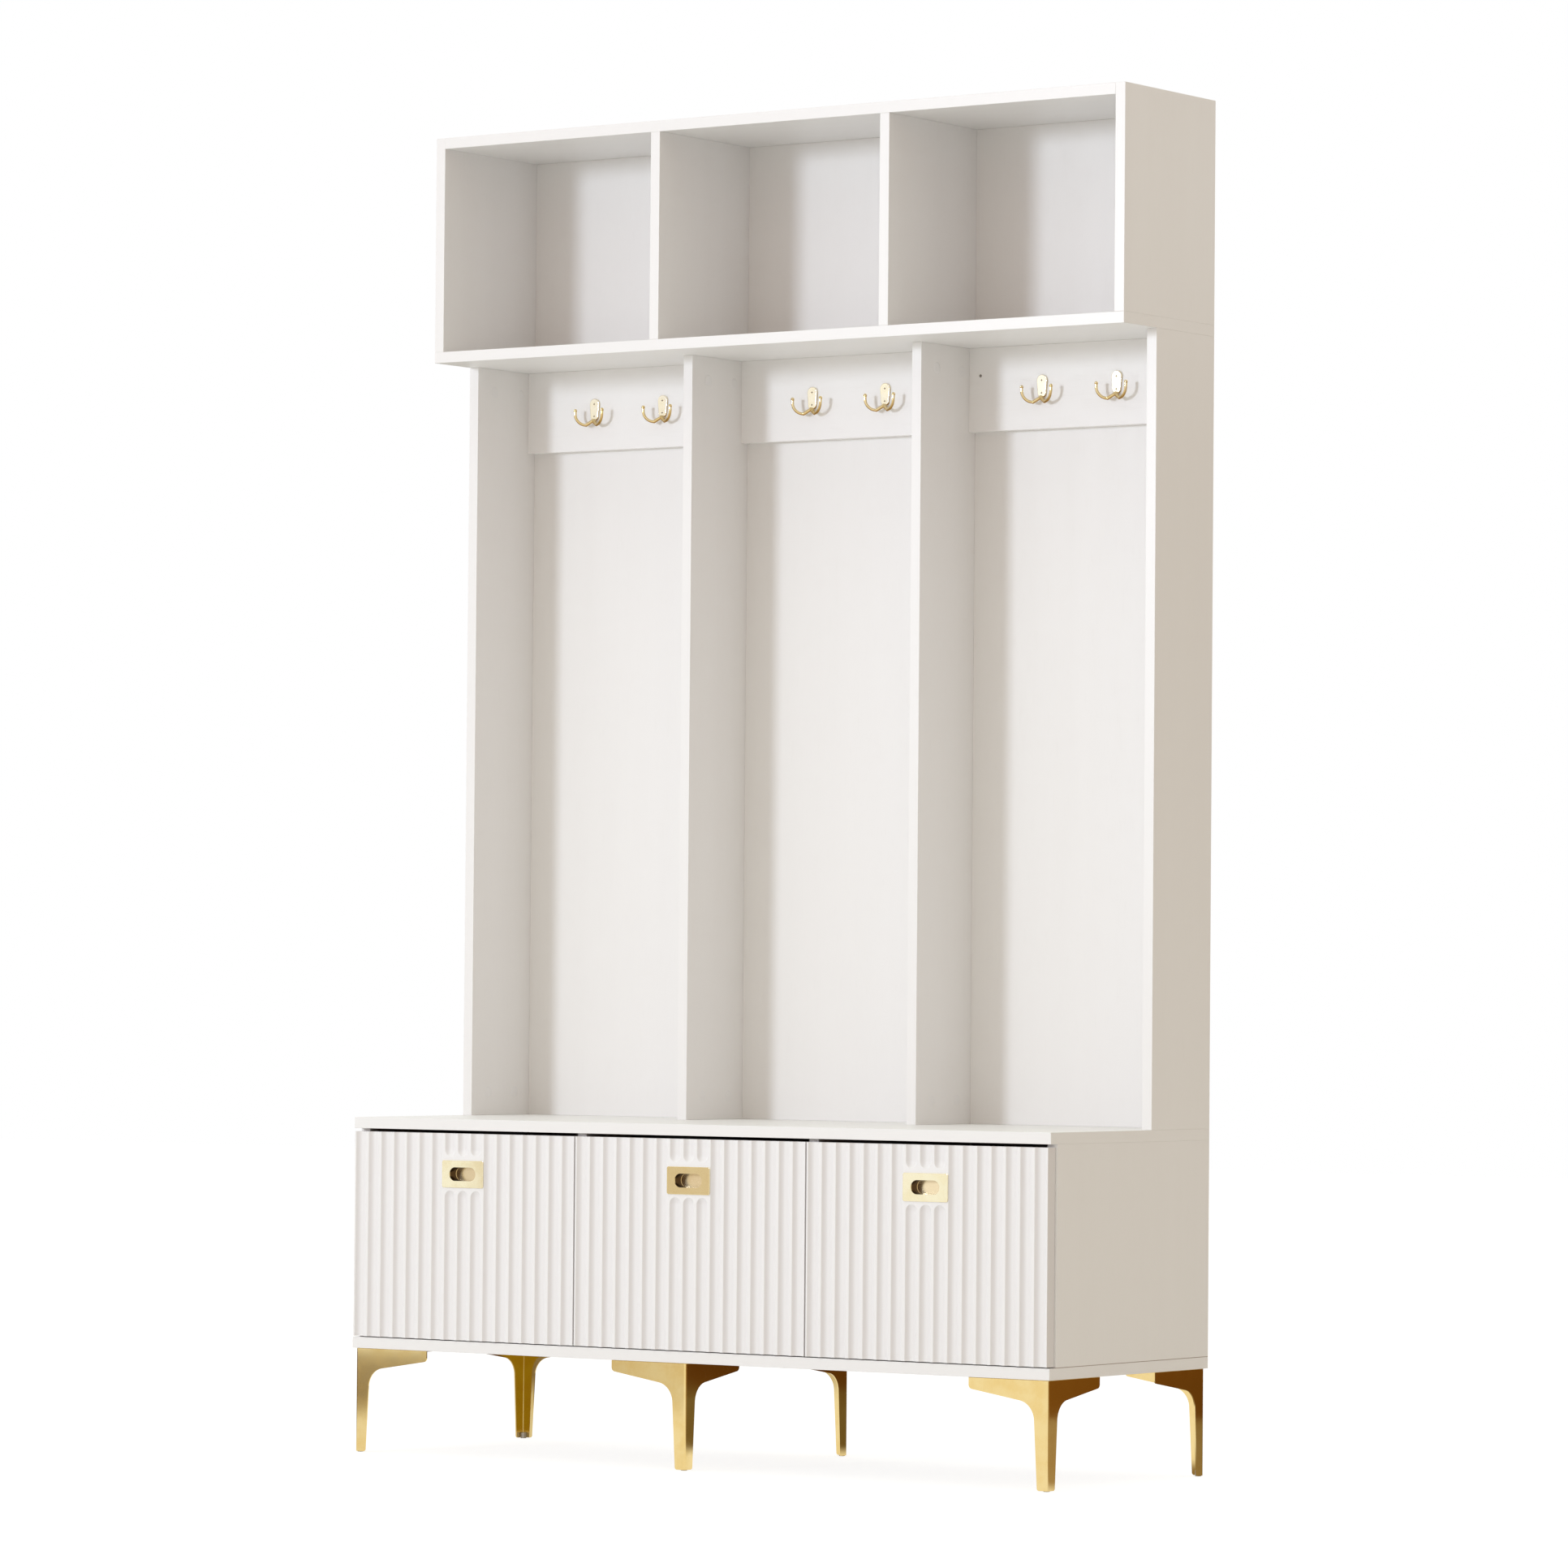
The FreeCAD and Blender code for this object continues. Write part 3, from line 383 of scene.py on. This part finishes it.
def dress_frame():
    """Give every packed sub-part its finish."""
    front_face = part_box("drawer_left_front")[0].y
    pull_lip, pull_back = (corner.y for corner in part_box("drawer_left_pull"))
    pull_floor = pull_back - CUP_WALL
    bench_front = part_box("bench_top")[0].y
    box_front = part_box("box_shelf")[0].y
    hutch_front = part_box("hutch_side_left")[0].y
    hook_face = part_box("hook_rail_left")[0].y - HOOK_PLATE
    white = {
        "bench": pressed_board("bench_white", "X", bench_front),
        "base": pressed_board("base_white", "Z", foot=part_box("base_bottom_board")[1].z),
        "hutch": pressed_board("hutch_white", "Z", hutch_front),
        "hook": pressed_board("rail_white", "X", light=(0.915, 0.904, 0.890),
                              deep=(0.858, 0.844, 0.824)),
        "box": pressed_board("cubby_white", "Z", box_front),
        "level": pressed_board("cubby_level_white", "X", box_front),
    }
    finishes = {
        "back_white": pressed_board("back_white", "Z", light=(0.868, 0.856, 0.838),
                                    deep=(0.815, 0.80, 0.778)),
        "fluted_white": foil_front("fluted_foil", front_face, FLUTE_DEPTH),
        "drawer_board": linen_board("linen_board"),
        "hook_brass": gilded("hook_gilding", (0.99, 0.94, 0.79), (0.96, 0.87, 0.63), 0.07,
                             (1.0, 1.0, 1.0),
                             hook=(hook_face, (0.90, 0.70, 0.34), (0.42, 0.23, 0.05))),
        "leg_gold": gilded("leg_gilding", (0.90, 0.72, 0.36), (0.85, 0.63, 0.26), 0.04,
                           (1.0, 1.0, 0.02)),
        "pull_gold": gilded("pull_gilding", (0.95, 0.88, 0.64), (0.91, 0.81, 0.53), 0.05,
                            (0.03, 1.0, 1.0), cup=(pull_lip, pull_floor)),
        "screw_zinc": screw_metal("screw_plating", hook_face),
        "runner_steel": zinc_sheet("runner_zinc"),
        "foot_plastic": moulded("foot_plastic", (0.50, 0.46, 0.40), (0.42, 0.385, 0.33), 0.42),
    }
    level = {"box_shelf", "box_top"}
    lying = {"bench_top", "base_bottom_board"}
    for name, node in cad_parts.items():
        given = node.material_slots[0].material.name.split(".")[0]
        if given != "white_board":
            chosen = finishes[given]
        elif name in level:
            chosen = white["level"]
        elif name in lying:
            chosen = white["bench"]
        else:
            chosen = white[name.split("_")[0]]
        node.material_slots[0].material = chosen
    covers = moulded("cover_plastic", (0.85, 0.845, 0.835), (0.82, 0.81, 0.80), 0.34)
    hole_painted_shade = moulded("dimple_shade", (0.30, 0.27, 0.24), (0.22, 0.19, 0.17), 0.6)
    fitting_covers(covers)
    rail_dimple(hole_painted_shade)


# --------------------------------------------------------------------------- studio

def flat_sheet(name, corners, finish):
    """A four-cornered sheet of the studio, not part of the object."""
    mesh = bpy.data.meshes.new(name)
    mesh.from_pydata(corners, [], [(0, 1, 2, 3)])
    mesh.materials.append(finish)
    sheet = bpy.data.objects.new(name, mesh)
    SCENE.collection.objects.link(sheet)
    return sheet


def sight_lines(finish):
    """Two switches: 1 for what the camera sees, and 1 for what glossy metal sees."""
    path = finish.node("ShaderNodeLightPath")
    return path["Is Camera Ray"], path["Is Glossy Ray"]


def floor_finish():
    """Pale floor that takes soft shadows and shows white.

    Metal sees painted shade and wood-brown tones in it: dark on the left and behind, and white far
    in front.
    """
    floor = new_finish("studio_floor")
    camera, glossy = sight_lines(floor)
    grit = floor.noise(floor.place(), 40.0, 2.0)
    pale = floor.tint(grit, (0.78, 0.775, 0.765), (0.75, 0.745, 0.735))
    diffuse = floor.node("ShaderNodeBsdfDiffuse", None, {"Color": pale})["BSDF"]
    across = floor.level_distance(ACROSS)
    back = floor.level_distance(BEHIND)
    # What metal sees: painted shade from the bench over the nearby floor, mixed with a wood-brown
    # tone.
    close = floor.step(back, -1.8, -1.1)
    leftmost = 1.0 - floor.step(across, -0.25, 0.05)
    far = 1.0 - floor.step(back, -2.5, -1.9)
    skewed = across + 0.3 * close + leftmost * (0.33 * close + 0.08 * far)
    before = floor.tint(floor.step(skewed, -0.85, 0.50), (0.16, 0.10, 0.03),
                        (1.0, 0.98, 0.93))
    behind = floor.tint(floor.step(across, 0.0, 0.75), (0.17, 0.12, 0.045), (0.44, 0.325, 0.18))
    near = floor.tint(floor.step(back, 0.12, 0.40), before, behind)
    glossy_shade_and_wood = floor.tint(floor.step(back, -3.4, -2.9), PURE_WHITE, near)
    shown = floor.tint(glossy, (1.3, 1.3, 1.3), glossy_shade_and_wood)
    glow = floor.node("ShaderNodeEmission", None, {"Color": shown, "Strength": 1.0})["Emission"]
    both = floor.node("ShaderNodeMixShader", None, {"Fac": 0.62 * camera + glossy,
                                                    "Shader": diffuse,
                                                    "Shader_001": glow})["Shader"]
    floor.node("ShaderNodeOutputMaterial", None, {"Surface": both})
    return floor.owner


def card_finish(name, dark, light, turn):
    """A studio card with soft level streaks, lighter past a turn along X, seen only in metal."""
    card = new_finish(name)
    streaks = card.noise(card.place((1.0, 1.0, 6.0)), 3.0, 3.0)
    share = 0.8 * card.step(card.along("X"), turn - 0.3, turn + 0.3) + 0.4 * streaks
    colour = card.tint(share, dark, light)
    glow = card.node("ShaderNodeEmission", None, {"Color": colour, "Strength": 1.0})["Emission"]
    card.node("ShaderNodeOutputMaterial", None, {"Surface": glow})
    return card.owner


def reflected_card(name, start, end, low, high, finish):
    """A card standing on the line from start to end, which only shows in reflections."""
    card = flat_sheet(name, [(*start, low), (*end, low), (*end, high), (*start, high)], finish)
    card.visible_camera = False
    card.visible_diffuse = False
    card.visible_transmission = False
    card.visible_shadow = False


def build_studio():
    """Floor, soft room light, a key light from the front left and cards for the metal."""
    flat_sheet("studio_floor", [(-14, -14, 0), (14, -14, 0), (14, 14, 0), (-14, 14, 0)],
               floor_finish())
    reflected_card("amber_card", (0.05, 2.1), (2.9, 0.09), 0.0, 1.7,
                   card_finish("amber_card", (0.075, 0.026, 0.004), (0.23, 0.10, 0.016), 1.35))
    reflected_card("tan_card", (-2.18, -2.57), (-1.50, -2.67), 0.0, 0.75,
                   card_finish("tan_card", (0.66, 0.54, 0.37), (0.76, 0.64, 0.47), -1.75))
    # The shade card is painted shadow under the bench, seen only in the metal.
    reflected_card("shade_card", (-0.56, 0.06), (-0.45, 0.14), 0.0, 0.15,
                   card_finish("shade_card", (0.24, 0.19, 0.015), (0.38, 0.31, 0.03), -0.5))

    room = Finish(bpy.data.worlds.new("studio_room"))
    SCENE.world = room.owner
    camera, glossy = sight_lines(room)
    sky = room.node("ShaderNodeTexCoord")["Generated"]
    toward = room.node("ShaderNodeSeparateXYZ", None, {"Vector": sky})
    level = room.tint(room.step(toward["X"], -0.7, 0.7), (0.49, 0.35, 0.42), (0.28, 0.09, 0.02))
    soft = room.tint(toward["Z"], level, (1.30, 1.36, 1.24))
    seen = room.tint(camera + glossy, soft, PURE_WHITE)
    light = room.node("ShaderNodeBackground", None, {"Color": seen, "Strength": 1.0})
    room.node("ShaderNodeOutputWorld", None, {"Surface": light["Background"]})

    lamp = bpy.data.lights.new("key_light", "AREA")
    lamp.shape = "DISK"
    lamp.size = 1.4
    lamp.energy = 257.0
    lamp.color = (0.81, 0.887, 1.0)
    key = bpy.data.objects.new("key_light", lamp)
    SCENE.collection.objects.link(key)
    key.location = (-3.5, -8.3, 2.5)
    toward_middle = Vector((0.0, 0.0, 0.95)) - key.location
    key.rotation_euler = toward_middle.to_track_quat("-Z", "Y").to_euler()


def aim_camera():
    """Stand a long lens to the front right, a little above the bench."""
    heading, rise, lean = (math.radians(angle) for angle in (35.145, 1.736, 0.464))
    ahead = Vector((-math.sin(heading) * math.cos(rise), math.cos(heading) * math.cos(rise),
                    math.sin(rise)))
    right = Vector((math.cos(heading), math.sin(heading), 0.0))
    up = right.cross(ahead)
    side = math.cos(lean) * right + math.sin(lean) * up
    top = math.cos(lean) * up - math.sin(lean) * right
    lens = bpy.data.cameras.new("camera")
    lens.sensor_width = 36.0
    lens.lens = 154.93
    lens.clip_end = 60.0
    camera = bpy.data.objects.new("camera", lens)
    SCENE.collection.objects.link(camera)
    turn = Matrix((side, top, -ahead)).transposed().to_4x4()
    camera.matrix_world = Matrix.Translation((5.5386, -7.8479, 0.6744)) @ turn
    SCENE.camera = camera


dress_frame()
build_studio()
aim_camera()
SCENE.view_settings.view_transform = "Standard"
